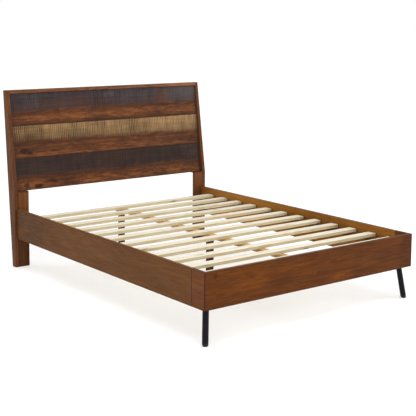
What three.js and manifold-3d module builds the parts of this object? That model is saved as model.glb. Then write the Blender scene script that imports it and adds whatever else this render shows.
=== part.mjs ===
// Queen platform bed frame: a leaning plank headboard between profiled stiles,
// side rails and a mitred footboard with short corner returns, slats on ledgers
// over a centre beam, two splayed steel legs at the foot, and two screw levellers
// under the middle. Millimetres, +Z up, headboard at +Y, left and right as seen
// from the foot. The origin is on the floor, in the middle of the length and width.
import * as THREE from 'three';
import { mergeVertices } from 'three/addons/utils/BufferGeometryUtils.js';
import Module from 'manifold-3d';

const wasm = await Module();
wasm.setup();

// Overall
const LENGTH = 2228;            // footboard face to the headboard's top back edge
const FRAME_WIDTH = 1590;       // over the two side rails
const HEAD_WIDTH = 1614;        // over the two headboard stiles
const HEAD_HEIGHT = 1195;
const GAP = 0.4;                // hairline between pieces that are cut to each other

// Side rails and footboard
const RAIL_TOP = 400;
const RAIL_BOTTOM = 198;
const BOARD = 22;               // thickness of rails, footboard and headboard planks
const RETURN_LENGTH = 113;      // footboard corner return, along the side
const JOINT_PLATE = { thickness: 3, overReturn: 18, overRail: 62, bottom: 225, top: 300 };

// Headboard posts
const POST_FROM_FOOT = 2080;    // footboard face to the front of the head posts
const STILE_WIDTH = 24;
const STILE_FOOT_DEPTH = 45;
const STILE_TOP_DEPTH = 44;
const KINK_HEIGHT = 516;        // the stile is upright below and leans back above
const LEG_BOARD = { width: 80, depth: 20 };
const POST_BLOCK = { width: 30, bottom: 60, belowKink: 6 };
const HEAD_GLIDE = { height: 4, inset: 2 };

// Bolted angle between each side rail and head post
const BRACKET = { thickness: 3, alongRail: 58, alongPost: 66, height: 110 };
const BOLT = { radius: 4, headRadius: 8, headDepth: 5, headShoulder: 3, rim: 2, past: 10 };
const BOLT_HEIGHTS = [240, 310];
const BOLT_FROM_SIDE = 45;      // bolt axis inward of the stile's inner face

// Headboard panel
const TOP_RAIL = 22;
const PANEL_SETBACK = 24;       // panel front behind the stile front, at its lower edge
const PANEL_LEAN = Math.atan(0.128);
const CLEAT = { width: 40, depth: 16, bottomGap: 18, topGap: 22 };
const BATTEN_WIDTH = 60;

// Slats, ledgers and centre beam
const SLAT = { count: 12, pitch: 165, width: 60, thickness: 18, top: 358 };
const SLAT_FIRST = 103;         // footboard face to the first slat
const SLAT_END_GAP = 8;         // slat end to the rail's inner face
const LEDGER = { width: 40, height: 30, footGap: 3, headGap: 65 };
const BEAM = { width: 45, height: 22, footGap: 2 };
const BEAM_HEAD_END = 2045;     // measured from the footboard face
const BEAM_X = -34;             // the beam and its legs stand a little left of the middle
const BEAM_CLEAT = { width: 90, depth: 25, height: 45 };
const CENTRE_LEG = 35;          // square
const CENTRE_LEGS_AT = { middle: 934, head: 1960 };

// Foot corner and steel leg
const BLOCK = { side: 70, bottom: 206, topGap: 2 };
const PLATE = { side: 64, thickness: 4 };
const TUBE = { radius: 17.4, wall: 2 };
const LEG_TIP = { x: 767, y: 27.5 };    // middle of the foot of the leg, y from the footboard face
const LEG_SPLAY = { x: 0.118, y: 0.14 };    // outward run per unit of height
const GLIDE = { height: 20, treadRadius: 9, roundHeight: 12, roundSteps: 5, plug: 16 };

// Leveller under each centre leg
const PAD = { radius: 15, height: 6, edge: 2, crown: 1, collar: 3 };
const PAD_TO_INSERT = 16;       // pad top to the insert's flange, at rest
const STEM = { radius: 4, inLeg: 30 };
const INSERT = { radius: 6, flangeRadius: 10, flange: 2, aboveEnd: 4 };
const CLEARANCE = 0.3;          // round a stem or bolt, on the radius
const CUTTER_EXTRA = 10;        // how much longer a drill is than the wood it goes through

// Derived planes
const footY = -LENGTH / 2;
const postY = footY + POST_FROM_FOOT;
const backTopY = LENGTH / 2;
const railOuter = FRAME_WIDTH / 2;
const railInner = railOuter - BOARD;
const stileOuter = HEAD_WIDTH / 2;
const stileInner = stileOuter - STILE_WIDTH;
const legBoardInner = stileInner - LEG_BOARD.width;
const legBoardBack = postY + LEG_BOARD.depth;
const boltFromMiddle = stileInner - BOLT_FROM_SIDE;
const slatBottom = SLAT.top - SLAT.thickness;
const beamBottom = slatBottom - BEAM.height;
const plateBottom = BLOCK.bottom - PLATE.thickness;
const insertFlange = PAD.height + PAD_TO_INSERT;
const centreLegBottom = insertFlange + INSERT.flange;
const frontLean = (backTopY - STILE_TOP_DEPTH - postY) / (HEAD_HEIGHT - KINK_HEIGHT);
const backLean = (backTopY - postY - STILE_FOOT_DEPTH) / HEAD_HEIGHT;

const finishes = {
  walnut: { color: 0x6e4b30, roughness: 0.5 },
  umber: { color: 0x4a3226, roughness: 0.6 },
  charcoal: { color: 0x473f3d, roughness: 0.6 },
  khaki: { color: 0x8c6e4d, roughness: 0.65 },
  pine: { color: 0xdccfae, roughness: 0.6 },
  blackSteel: { color: 0x17181b, roughness: 0.4, metalness: 0.6 },
  zinc: { color: 0xb4b7ba, roughness: 0.35, metalness: 0.9 },
  nylon: { color: 0x202020, roughness: 0.6 },
};

const bed = new THREE.Group();

function addPiece(name, finish, geometry, position = [0, 0, 0], parent = bed) {
  const material = new THREE.MeshStandardMaterial(finishes[finish]);
  const mesh = new THREE.Mesh(geometry, material);
  mesh.name = name;
  mesh.position.set(...position);
  parent.add(mesh);
  return mesh;
}

// A rectangular board from its extents along each axis.
function addBoard(name, finish, x, y, z, parent = bed) {
  const size = [x, y, z].map(([low, high]) => high - low);
  const middle = [x, y, z].map(([low, high]) => (low + high) / 2);
  return addPiece(name, finish, new THREE.BoxGeometry(...size), middle, parent);
}

// The same extents on the left (side -1) or right (side 1) of the bed.
function across(side, inner, outer) {
  return side > 0 ? [inner, outer] : [-outer, -inner];
}

function outline(points) {
  return new THREE.Shape(points.map(([a, b]) => new THREE.Vector2(a, b)));
}

// Turns local (x, y, z) into (z, x, y), so a lathe's or extrusion's axes become the bed's.
const cycleAxes = new THREE.Matrix4().makeBasis(
  new THREE.Vector3(0, 1, 0),
  new THREE.Vector3(0, 0, 1),
  new THREE.Vector3(1, 0, 0),
);

function prism(points, depth) {
  return new THREE.ExtrudeGeometry(outline(points), { depth, bevelEnabled: false });
}

// An outline in (Y, Z), run along X over the given width.
function sideProfile(points, width) {
  return prism(points, width).applyMatrix4(cycleAxes);
}

function lathe(points, segments) {
  const profile = points.map(([radius, along]) => new THREE.Vector2(radius, along));
  return new THREE.LatheGeometry(profile, segments);
}

// A solid turned about the vertical, from (radius, height) points.
function turned(points, segments = 32) {
  return lathe(points, segments).applyMatrix4(cycleAxes);
}

function toSolid(geometry) {
  const bare = geometry.clone();
  bare.deleteAttribute('normal');
  bare.deleteAttribute('uv');
  const merged = mergeVertices(bare, 1e-4);
  return new wasm.Manifold(new wasm.Mesh({
    numProp: 3,
    vertProperties: new Float32Array(merged.attributes.position.array),
    triVerts: new Uint32Array(merged.index.array),
  }));
}

function toGeometry(solid) {
  const mesh = solid.getMesh();
  const geometry = new THREE.BufferGeometry();
  geometry.setAttribute('position', new THREE.BufferAttribute(mesh.vertProperties, 3));
  geometry.setIndex(new THREE.BufferAttribute(mesh.triVerts, 1));
  return geometry;
}

function drilled(geometry, drills) {
  const start = toSolid(geometry);
  return toGeometry(drills.reduce((solid, drill) => solid.subtract(toSolid(drill)), start));
}

// A round cutter along Y (or along Z when upright), centred on the given point.
function drill(radius, length, [x, y, z], upright = false) {
  const cutter = new THREE.CylinderGeometry(radius, radius, length, 24);
  if (upright) cutter.rotateX(Math.PI / 2);
  return cutter.translate(x, y, z);
}

// One cutter per head bolt through a piece at the given Y, for x and y offsets of its own.
function boltDrills(side, thickness, y, [offsetX, offsetZ] = [0, 0]) {
  return BOLT_HEIGHTS.map((z) => drill(
    BOLT.radius + CLEARANCE,
    thickness + CUTTER_EXTRA,
    [side * boltFromMiddle - offsetX, y, z - offsetZ],
  ));
}

const sides = [['left', -1], ['right', 1]];

// ---- Headboard ----

function stileFront(z) {
  return postY + frontLean * Math.max(0, z - KINK_HEIGHT);
}

function stileBack(z) {
  return postY + STILE_FOOT_DEPTH + backLean * z;
}

function addStile(label, side) {
  const stile = sideProfile([
    [postY, HEAD_GLIDE.height],
    [stileBack(HEAD_GLIDE.height), HEAD_GLIDE.height],
    [stileBack(HEAD_HEIGHT), HEAD_HEIGHT],
    [stileFront(HEAD_HEIGHT), HEAD_HEIGHT],
    [postY, KINK_HEIGHT],
  ], STILE_WIDTH);
  const [stileLeft] = across(side, stileInner, stileOuter);
  addPiece(`headboard_stile_${label}`, 'walnut', stile, [stileLeft, 0, 0]);
}

function addLegBoard(label, side) {
  const height = KINK_HEIGHT - HEAD_GLIDE.height;
  const board = new THREE.BoxGeometry(LEG_BOARD.width, LEG_BOARD.depth, height);
  const middle = [
    side * (legBoardInner + LEG_BOARD.width / 2),
    postY + LEG_BOARD.depth / 2,
    HEAD_GLIDE.height + height / 2,
  ];
  const holes = boltDrills(side, LEG_BOARD.depth, 0, [middle[0], middle[2]]);
  addPiece(`headboard_leg_${label}`, 'walnut', drilled(board, holes), middle);
  addBoard(
    `post_block_${label}`,
    'walnut',
    across(side, stileInner - POST_BLOCK.width, stileInner),
    [legBoardBack, legBoardBack + BOARD],
    [POST_BLOCK.bottom, KINK_HEIGHT - POST_BLOCK.belowKink],
  );
}

// One pad under each head post, following the L of the stile and the leg board.
function addHeadGlide(label, side) {
  const { height, inset } = HEAD_GLIDE;
  const points = [
    [legBoardInner + inset, postY + inset],
    [stileOuter - inset, postY + inset],
    [stileOuter - inset, stileBack(0) - inset],
    [stileInner + inset, stileBack(0) - inset],
    [stileInner + inset, legBoardBack - inset],
    [legBoardInner + inset, legBoardBack - inset],
  ].map(([x, y]) => [side * x, y]);
  addPiece(`head_glide_${label}`, 'nylon', prism(points, height));
}

// The planks and the battens behind them stand in one leaning group.
function addPanel() {
  const panel = new THREE.Group();
  panel.position.set(0, postY + PANEL_SETBACK, KINK_HEIGHT);
  panel.rotation.x = -PANEL_LEAN;
  bed.add(panel);

  const clearHeight = HEAD_HEIGHT - TOP_RAIL - KINK_HEIGHT - GAP;
  const slope = clearHeight / Math.cos(PANEL_LEAN);
  const planks = [['lower', 'charcoal'], ['middle', 'khaki'], ['upper', 'charcoal']];
  const plankHeight = (slope - GAP * (planks.length - 1)) / planks.length;
  const halfWidth = stileInner - GAP;
  planks.forEach(([name, finish], index) => {
    const bottom = index * (plankHeight + GAP);
    addBoard(
      `headboard_plank_${name}`,
      finish,
      [-halfWidth, halfWidth],
      [0, BOARD],
      [bottom, bottom + plankHeight],
      panel,
    );
  });

  const depth = [BOARD + GAP, BOARD + GAP + CLEAT.depth];
  const reach = [CLEAT.bottomGap, slope - CLEAT.topGap];
  for (const [label, side] of sides) {
    const x = across(side, halfWidth - CLEAT.width, halfWidth);
    addBoard(`panel_cleat_${label}`, 'walnut', x, depth, reach, panel);
  }
  const battenWidth = [-BATTEN_WIDTH / 2, BATTEN_WIDTH / 2];
  addBoard('panel_batten_centre', 'walnut', battenWidth, depth, reach, panel);
}

function addTopRail() {
  const low = HEAD_HEIGHT - TOP_RAIL;
  const rail = sideProfile([
    [stileFront(low), low],
    [stileBack(low), low],
    [stileBack(HEAD_HEIGHT), HEAD_HEIGHT],
    [stileFront(HEAD_HEIGHT), HEAD_HEIGHT],
  ], 2 * stileInner);
  addPiece('headboard_top_rail', 'walnut', rail, [-stileInner, 0, 0]);
}

// ---- Side rails, footboard and their hardware ----

function addFootboard() {
  const height = RAIL_TOP - RAIL_BOTTOM;
  const mitred = prism([
    [-railOuter, footY],
    [railOuter, footY],
    [railInner, footY + BOARD],
    [-railInner, footY + BOARD],
  ], height);
  addPiece('footboard', 'walnut', mitred, [0, 0, RAIL_BOTTOM]);
  for (const [label, side] of sides) {
    const cornerReturn = prism([
      [side * railOuter, footY + GAP],
      [side * railOuter, footY + RETURN_LENGTH],
      [side * railInner, footY + RETURN_LENGTH],
      [side * railInner, footY + BOARD + GAP],
    ], height);
    addPiece(`footboard_return_${label}`, 'walnut', cornerReturn, [0, 0, RAIL_BOTTOM]);
  }
}

function addSideRail(label, side) {
  addBoard(
    `side_rail_${label}`,
    'walnut',
    across(side, railInner, railOuter),
    [footY + RETURN_LENGTH + GAP, postY - GAP],
    [RAIL_BOTTOM, RAIL_TOP],
  );
  addBoard(
    `ledger_${label}`,
    'walnut',
    across(side, railInner - LEDGER.width, railInner),
    [footY + BOARD + BLOCK.side + LEDGER.footGap, postY - LEDGER.headGap],
    [slatBottom - LEDGER.height, slatBottom],
  );
}

// A flat plate across the seam between the return and the rail, below the ledger.
function addJointPlate(label, side) {
  const seam = footY + RETURN_LENGTH;
  addBoard(
    `rail_joint_plate_${label}`,
    'zinc',
    across(side, railInner - JOINT_PLATE.thickness, railInner),
    [seam - JOINT_PLATE.overReturn, seam + JOINT_PLATE.overRail],
    [JOINT_PLATE.bottom, JOINT_PLATE.top],
  );
}

// An angle in the corner between the rail and the head post, with its two bolts.
function addHeadBracket(label, side) {
  const { thickness, alongRail, alongPost, height } = BRACKET;
  const reach = railInner - alongPost;
  const face = postY - GAP;
  const [lowBolt, highBolt] = BOLT_HEIGHTS;
  const angle = prism([
    [side * reach, face],
    [side * railInner, face],
    [side * railInner, face - alongRail],
    [side * (railInner - thickness), face - alongRail],
    [side * (railInner - thickness), face - thickness],
    [side * reach, face - thickness],
  ], height).translate(0, 0, (lowBolt + highBolt - height) / 2);
  const holes = boltDrills(side, thickness, face - thickness / 2);
  addPiece(`head_bracket_${label}`, 'zinc', drilled(angle, holes));
  BOLT_HEIGHTS.forEach((z, index) => {
    addHeadBolt(`head_bolt_${label}_${index + 1}`, side * boltFromMiddle, z);
  });
}

// A pan-headed bolt along Y, its head on the back of the leg board.
function addHeadBolt(name, x, z) {
  const shank = LEG_BOARD.depth + BOLT.past;
  const bolt = lathe([
    [0, 0],
    [BOLT.radius, 0],
    [BOLT.radius, shank],
    [BOLT.headRadius, shank],
    [BOLT.headRadius, shank + BOLT.headShoulder],
    [BOLT.headRadius - BOLT.rim, shank + BOLT.headDepth],
    [0, shank + BOLT.headDepth],
  ], 24);
  addPiece(name, 'zinc', bolt, [x, legBoardBack - shank, z]);
}

// ---- Foot corners: block, plate, splayed tube and glide ----

function splayed(geometry, side) {
  const shear = new THREE.Matrix4().set(
    1, 0, -side * LEG_SPLAY.x, 0,
    0, 1, LEG_SPLAY.y, 0,
    0, 0, 1, 0,
    0, 0, 0, 1,
  );
  return geometry.applyMatrix4(shear);
}

function addFootCorner(label, side) {
  addBoard(
    `corner_block_${label}`,
    'pine',
    across(side, railInner - BLOCK.side, railInner - GAP),
    [footY + BOARD + GAP, footY + BOARD + BLOCK.side],
    [BLOCK.bottom, slatBottom - BLOCK.topGap],
  );
  const inset = (BLOCK.side - PLATE.side) / 2;
  addBoard(
    `leg_plate_${label}`,
    'blackSteel',
    across(side, railInner - inset - PLATE.side, railInner - inset),
    [footY + BOARD + inset, footY + BOARD + inset + PLATE.side],
    [plateBottom, BLOCK.bottom],
  );
  const tip = [side * LEG_TIP.x, footY + LEG_TIP.y, 0];
  const bore = TUBE.radius - TUBE.wall;
  const tube = turned([
    [bore, GLIDE.height],
    [TUBE.radius, GLIDE.height],
    [TUBE.radius, plateBottom],
    [bore, plateBottom],
    [bore, GLIDE.height],
  ]);
  addPiece(`steel_leg_${label}`, 'blackSteel', splayed(tube, side), tip);
  addPiece(`leg_glide_${label}`, 'nylon', splayed(glide(bore - CLEARANCE), side), tip);
}

// A cap with a rounded tread, plugged into the tube.
function glide(plugRadius) {
  const { height, treadRadius, roundHeight, roundSteps } = GLIDE;
  const points = [[0, 0], [treadRadius, 0]];
  for (let step = 1; step <= roundSteps; step += 1) {
    const turn = (step / roundSteps) * Math.PI / 2;
    points.push([
      treadRadius + (TUBE.radius - treadRadius) * Math.sin(turn),
      roundHeight * (1 - Math.cos(turn)),
    ]);
  }
  const plugTop = height + GLIDE.plug;
  points.push([TUBE.radius, height], [plugRadius, height]);
  points.push([plugRadius, plugTop], [0, plugTop]);
  return turned(points);
}

// ---- Slats, beam and centre legs ----

function addSlats() {
  const half = railInner - SLAT_END_GAP;
  for (let i = 0; i < SLAT.count; i += 1) {
    const front = footY + SLAT_FIRST + i * SLAT.pitch;
    const number = String(i + 1).padStart(2, '0');
    addBoard(
      `slat_${number}`,
      'pine',
      [-half, half],
      [front, front + SLAT.width],
      [slatBottom, SLAT.top],
    );
  }
}

function addCentreBeam() {
  addBoard(
    'centre_beam',
    'pine',
    [BEAM_X - BEAM.width / 2, BEAM_X + BEAM.width / 2],
    [footY + BOARD + BEAM.footGap, footY + BEAM_HEAD_END],
    [beamBottom, slatBottom],
  );
  addBoard(
    'beam_cleat',
    'pine',
    [BEAM_X - BEAM_CLEAT.width / 2, BEAM_X + BEAM_CLEAT.width / 2],
    [footY + BOARD, footY + BOARD + BEAM_CLEAT.depth],
    [beamBottom - BEAM_CLEAT.height, beamBottom],
  );
}

function addCentreLeg(label, fromFoot) {
  const place = [BEAM_X, footY + fromFoot, 0];
  const height = beamBottom - centreLegBottom;
  const socket = PAD_TO_INSERT + STEM.inLeg;
  const post = new THREE.BoxGeometry(CENTRE_LEG, CENTRE_LEG, height)
    .translate(0, 0, centreLegBottom + height / 2);
  const hole = drill(
    INSERT.radius + CLEARANCE,
    2 * socket,
    [0, 0, centreLegBottom],
    true,
  );
  addPiece(`centre_leg_${label}`, 'umber', drilled(post, [hole]), place);

  const bore = STEM.radius + CLEARANCE;
  const insertTop = centreLegBottom + STEM.inLeg - INSERT.aboveEnd;
  const insert = turned([
    [bore, insertFlange],
    [INSERT.flangeRadius, insertFlange],
    [INSERT.flangeRadius, centreLegBottom],
    [INSERT.radius, centreLegBottom],
    [INSERT.radius, insertTop],
    [bore, insertTop],
    [bore, insertFlange],
  ], 24);
  addPiece(`centre_insert_${label}`, 'zinc', insert, place);

  const leveller = turned([
    [0, 0],
    [PAD.radius - PAD.edge, 0],
    [PAD.radius, PAD.edge],
    [PAD.radius, PAD.height - PAD.crown],
    [STEM.radius + PAD.collar, PAD.height],
    [STEM.radius, PAD.height],
    [STEM.radius, centreLegBottom + STEM.inLeg],
    [0, centreLegBottom + STEM.inLeg],
  ]);
  addPiece(`leveller_${label}`, 'nylon', leveller, place);
}

for (const [label, side] of sides) {
  addStile(label, side);
  addLegBoard(label, side);
  addHeadGlide(label, side);
  addSideRail(label, side);
  addJointPlate(label, side);
  addHeadBracket(label, side);
  addFootCorner(label, side);
}
addPanel();
addTopRail();
addFootboard();
addCentreBeam();
addSlats();
for (const [label, fromFoot] of Object.entries(CENTRE_LEGS_AT)) {
  addCentreLeg(label, fromFoot);
}

export default bed;
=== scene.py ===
"""Looks of a queen bed frame: stained and washed wood, pine slats, black steel legs."""

import math

import bmesh
import bpy
from mathutils import Matrix, Vector


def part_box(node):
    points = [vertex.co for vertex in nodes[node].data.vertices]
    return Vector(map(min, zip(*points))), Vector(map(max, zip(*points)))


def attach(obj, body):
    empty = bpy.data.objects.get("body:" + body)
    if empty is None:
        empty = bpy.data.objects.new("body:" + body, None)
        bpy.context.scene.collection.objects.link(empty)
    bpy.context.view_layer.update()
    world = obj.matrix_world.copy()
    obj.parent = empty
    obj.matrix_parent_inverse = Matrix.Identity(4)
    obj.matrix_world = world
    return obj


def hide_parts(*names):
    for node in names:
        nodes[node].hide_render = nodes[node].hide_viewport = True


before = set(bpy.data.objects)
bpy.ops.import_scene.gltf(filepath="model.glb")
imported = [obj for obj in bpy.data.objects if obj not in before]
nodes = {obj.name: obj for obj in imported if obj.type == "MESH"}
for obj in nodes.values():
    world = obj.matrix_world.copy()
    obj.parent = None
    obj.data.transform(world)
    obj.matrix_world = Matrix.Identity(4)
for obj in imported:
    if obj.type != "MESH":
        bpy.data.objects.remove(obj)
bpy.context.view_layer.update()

CAMERA_AT = (-3.844, -5.064, 1.711)
CAMERA_YAW = 37.80       # degrees from +Y towards +X
CAMERA_DIP = 6.98        # degrees below the horizon
CAMERA_ROLL = 0.43
FOCAL = 86.56            # mm, on a sensor 36 mm wide
SHIFT = -0.17

SIDES = (("left", -1), ("right", 1))
MM = 0.001
PI = math.pi


def rgb(red, green, blue):
    """A colour given as 0 to 255 on screen, as the linear RGBA that nodes take."""
    return tuple((c / 255 / 12.92) if c < 10.3 else ((c / 255 + 0.055) / 1.055) ** 2.4
                 for c in (red, green, blue)) + (1.0,)


BLACK = (0.0, 0.0, 0.0, 1.0)
WHITE = (1.0, 1.0, 1.0, 1.0)


# ---- The leaning headboard panel ----

def centre(node):
    low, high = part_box(node)
    return (low + high) / 2


PIVOT = centre("headboard_plank_lower")
RISE = centre("headboard_plank_upper") - PIVOT
LEAN = math.atan2(RISE.y, RISE.z)


def about_pivot(angle):
    """The turn about the lowest plank's centre, with its top going forward."""
    turn = Matrix.Rotation(angle, 4, "X")
    return Matrix.Translation(PIVOT) @ turn @ Matrix.Translation(-PIVOT)


UPRIGHT = about_pivot(LEAN)      # takes the leaning panel to one that stands upright
LEANED = about_pivot(-LEAN)      # takes it back


def upright_box(node):
    """The node's box once the panel has been turned upright."""
    points = [UPRIGHT @ vertex.co for vertex in nodes[node].data.vertices]
    return (Vector(map(min, zip(*points))), Vector(map(max, zip(*points))))


# ---- Node building ----

class Graph:
    """One material, with short calls that add nodes and return their outputs."""

    def __init__(self, name, **shader):
        self.material = bpy.data.materials.new(name)
        self.material.use_nodes = True
        self.tree = self.material.node_tree
        self.shader = self.tree.nodes["Principled BSDF"]
        for key, value in shader.items():
            self.shader.inputs[key.replace("_", " ")].default_value = value

    def put(self, socket, value):
        if isinstance(value, bpy.types.NodeSocket):
            self.tree.links.new(value, socket)
        elif value is not None:
            socket.default_value = value

    def add(self, kind, inputs=None, **settings):
        node = self.tree.nodes.new("ShaderNode" + kind)
        for key, value in settings.items():
            setattr(node, key, value)
        for key, value in (inputs or {}).items():
            self.put(node.inputs[key], value)
        return node

    def place(self):
        return self.add("TexCoord").outputs["Object"]

    def math(self, operation, a, b=None, c=None):
        return self.add("Math", {0: a, 1: b, 2: c}, operation=operation).outputs[0]

    def times(self, vector, scale):
        node = self.add("VectorMath", {0: vector, 1: scale}, operation="MULTIPLY")
        return node.outputs[0]

    def split(self, vector):
        return self.add("SeparateXYZ", {0: vector}).outputs[:3]

    def join(self, x, y, z):
        return self.add("CombineXYZ", {0: x, 1: y, 2: z}).outputs[0]

    def noise(self, vector, scale, detail=2.0, roughness=0.5, distortion=0.0):
        """Noise from 0 to 1, with its scale given along each axis, per metre."""
        node = self.add("TexNoise", {
            "Vector": self.times(vector, scale), "Scale": 1.0, "Detail": detail,
            "Roughness": roughness, "Distortion": distortion})
        return node.outputs[0]

    def ease(self, value, low, high, start=0.0, end=1.0):
        """Smoothly start to end as the value goes from low to high."""
        node = self.add("MapRange", {0: value, 1: low, 2: high, 3: start, 4: end},
                        interpolation_type="SMOOTHSTEP")
        return node.outputs[0]

    def mix(self, factor, a, b, blend="MIX"):
        node = self.add("Mix", {0: factor, 6: a, 7: b}, data_type="RGBA", blend_type=blend)
        return node.outputs[2]

    def ramp(self, value, stops):
        node = self.add("ValToRGB", {0: value})
        elements = node.color_ramp.elements
        while len(elements) < len(stops):
            elements.new(0.5)
        for element, (position, colour) in zip(elements, stops):
            element.position = position
            element.color = colour
        return node.outputs[0]

    def zones(self, along, across, rows):
        """Sum of soft, ragged patches: (along, across, half length, half width, amount)."""
        result = 0.0
        wander = self.noise(self.join(along, across, 0.0), (11.0, 45.0, 1.0), 4.0, 0.6)
        ragged = self.math("MULTIPLY_ADD", wander, 1.6, -0.8)
        for middle, level, length, width, amount in rows:
            u = self.math("MULTIPLY_ADD", along, 1 / length, -middle / length)
            v = self.math("MULTIPLY_ADD", across, 1 / width, -level / width)
            reach = self.add("VectorMath", {0: self.join(u, v, 0.0)}, operation="LENGTH")
            near = self.math("ADD", reach.outputs["Value"], ragged)
            result = self.math("ADD", self.ease(near, 0.35, 1.45, amount, 0.0), result)
        return result

    def total(self, *terms):
        """Sum of (weight, value) terms."""
        result = None
        for weight, value in terms:
            if result is None:
                result = self.math("MULTIPLY", value, weight)
            else:
                result = self.math("MULTIPLY_ADD", value, weight, result)
        return result

    def close(self, colour, roughness, height, depth):
        """Links the surface to the shader; depth is the bump's height in metres."""
        self.put(self.shader.inputs["Base Color"], colour)
        self.put(self.shader.inputs["Roughness"], roughness)
        bump = self.add("Bump", {"Strength": 1.0, "Distance": depth, "Height": height})
        self.put(self.shader.inputs["Normal"], bump.outputs[0])
        return self.material


# ---- Wood ----

def along_grain(g, vector, axis):
    """A position as (along the grain, across it, through it) for a board along axis."""
    x, y, z = g.split(vector)
    return {"x": (x, z, y), "y": (y, z, x), "z": (z, x, y)}[axis]


def stained(g, parts, tones, stave=(0.45, 0.07), weights=None, joint=0.0, shift=0.0):
    """Solid wood glued up from staves: colour, roughness and height.
    A stave ends at the joint; shift is added to the tone, darker below zero."""
    amount = {"stave": 0.3, "streak": 0.4, "rings": 0.12, "fibre": 0.25, "blotch": 0.3,
              "mottle": 0.12, "pores": 0.5, "seam": 0.35, "warm": 0.4}
    amount.update(weights or {})
    along, across, through = parts
    fingers = g.math("PINGPONG", across, 0.004)
    staggered = g.join(g.math("ADD", g.math("SUBTRACT", along, joint), fingers), across, 0.0)
    staves = g.add("TexBrick", {
        "Vector": staggered, "Color1": BLACK, "Color2": WHITE, "Mortar": BLACK,
        "Scale": 1.0, "Mortar Size": 0.5 * MM, "Mortar Smooth": 0.4, "Bias": 0.0,
        "Brick Width": stave[0], "Row Height": stave[1]},
        offset=0.37, offset_frequency=2, squash=1.3, squash_frequency=3)
    tint, seam = staves.outputs["Color"], staves.outputs["Fac"]
    jump = g.math("MULTIPLY", tint, 9.7)
    vector = g.join(g.math("ADD", along, jump), g.math("ADD", across, jump), through)
    figure = g.noise(vector, (1.1, 15.0, 15.0), 2.0, 0.5, 0.5)
    rings = g.math("SINE", g.math("MULTIPLY", figure, 70.0))
    streak = g.noise(vector, (2.4, 70.0, 70.0), 4.0, 0.62)
    fibre = g.noise(vector, (11.0, 480.0, 480.0), 3.0, 0.65)
    blotch = g.noise(g.join(along, across, through), (2.6, 8.0, 8.0), 2.0)
    mottle = g.noise(vector, (16.0, 60.0, 60.0), 4.0, 0.65)
    pores = g.ease(g.noise(vector, (50.0, 1100.0, 1100.0), 2.0), 0.57, 0.7)
    tone = g.math("ADD", 0.5, g.total(
        (amount["stave"], g.math("SUBTRACT", tint, 0.5)),
        (amount["streak"], g.math("SUBTRACT", streak, 0.5)),
        (amount["rings"] / 2, rings),
        (amount["fibre"], g.math("SUBTRACT", fibre, 0.5)),
        (amount["blotch"], g.math("SUBTRACT", blotch, 0.5)),
        (amount["mottle"], g.math("SUBTRACT", mottle, 0.5)),
        (1.0, shift)))
    dark, middle, light = tones
    colour = g.ramp(tone, [(0.2, dark), (0.5, middle), (0.8, light)])
    deep = tuple(c * 0.35 for c in dark[:3]) + (1.0,)
    colour = g.mix(g.math("MULTIPLY", pores, amount["pores"]), colour, deep)
    warm = g.noise(g.join(along, across, through), (5.0, 30.0, 30.0), 2.0)
    colour = g.mix(g.ease(warm, 0.55, 0.75, 0.0, amount["warm"]), colour, light)
    colour = g.mix(g.math("MULTIPLY", seam, amount["seam"]), colour, deep)
    roughness = g.math("ADD", 0.44, g.total((0.16, streak), (0.12, pores), (-0.06, rings)))
    height = g.total((0.35, fibre), (0.3, streak), (-0.5, pores), (-0.6, seam))
    return colour, roughness, height


def to_box(g, vector, low, high):
    """Distances in metres to the box's nearest face along each axis."""
    result = []
    for value, start, end in zip(g.split(vector), low, high):
        result.append(g.math("MINIMUM", g.math("SUBTRACT", value, start),
                             g.math("SUBTRACT", end, value)))
    return result


def edge_distance(g, a, b, c):
    """Distance along the surface to the nearest edge: the middle one of three."""
    return g.math("MAXIMUM", g.math("MINIMUM", a, b),
                  g.math("MINIMUM", g.math("MAXIMUM", a, b), c))


def edge_stain_and_shade(g, colour, distance, wander, dark, reach, amount):
    """Darker colour along the edges: stain gathered there, and on the headboard planks painted
    shade where the panel sits recessed.
    """
    near = g.math("MULTIPLY_ADD", wander, reach * 1.2, distance)
    mask = g.ease(near, reach * 0.4, reach * 1.9, amount, 0.0)
    return g.mix(mask, colour, dark)


STAIN = {
    "rail": (rgb(70, 43, 21), rgb(93, 58, 28), rgb(112, 69, 31)),
    "return": (rgb(66, 36, 18), rgb(92, 52, 26), rgb(112, 64, 28)),
    "foot": (rgb(62, 31, 12), rgb(85, 45, 15), rgb(114, 61, 12)),
    "post": (rgb(60, 33, 18), rgb(88, 52, 30), rgb(114, 70, 38)),
    "cap": (rgb(64, 40, 28), rgb(96, 60, 40), rgb(136, 88, 60)),
    "inside": (rgb(100, 60, 18), rgb(139, 90, 34), rgb(164, 111, 47)),
    "plank": (rgb(50, 28, 18), rgb(91, 53, 28), rgb(134, 80, 38)),
    "ledger": (rgb(60, 34, 18), rgb(84, 50, 26), rgb(108, 68, 38)),
    "umber": (rgb(44, 24, 14), rgb(74, 42, 24), rgb(98, 58, 34)),
}
EDGE_STAIN_AND_SHADE = rgb(40, 24, 20)         # stain gathered along edges and ends, and painted shade along the planks' edges
END_SHADE = rgb(38, 34, 38)           # painted shade at the planks' ends, where the stiles shade them
INSIDE_STAVE = (0.9, 0.22)      # staves of the rails' inner faces: length, width
SATIN = {"Specular_IOR_Level": 0.1, "Specular_Tint": (1.0, 0.7, 0.5, 1.0)}
SHEEN = {"Specular_IOR_Level": 0.11, "Specular_Tint": (0.9, 0.9, 1.0, 1.0)}


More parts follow.
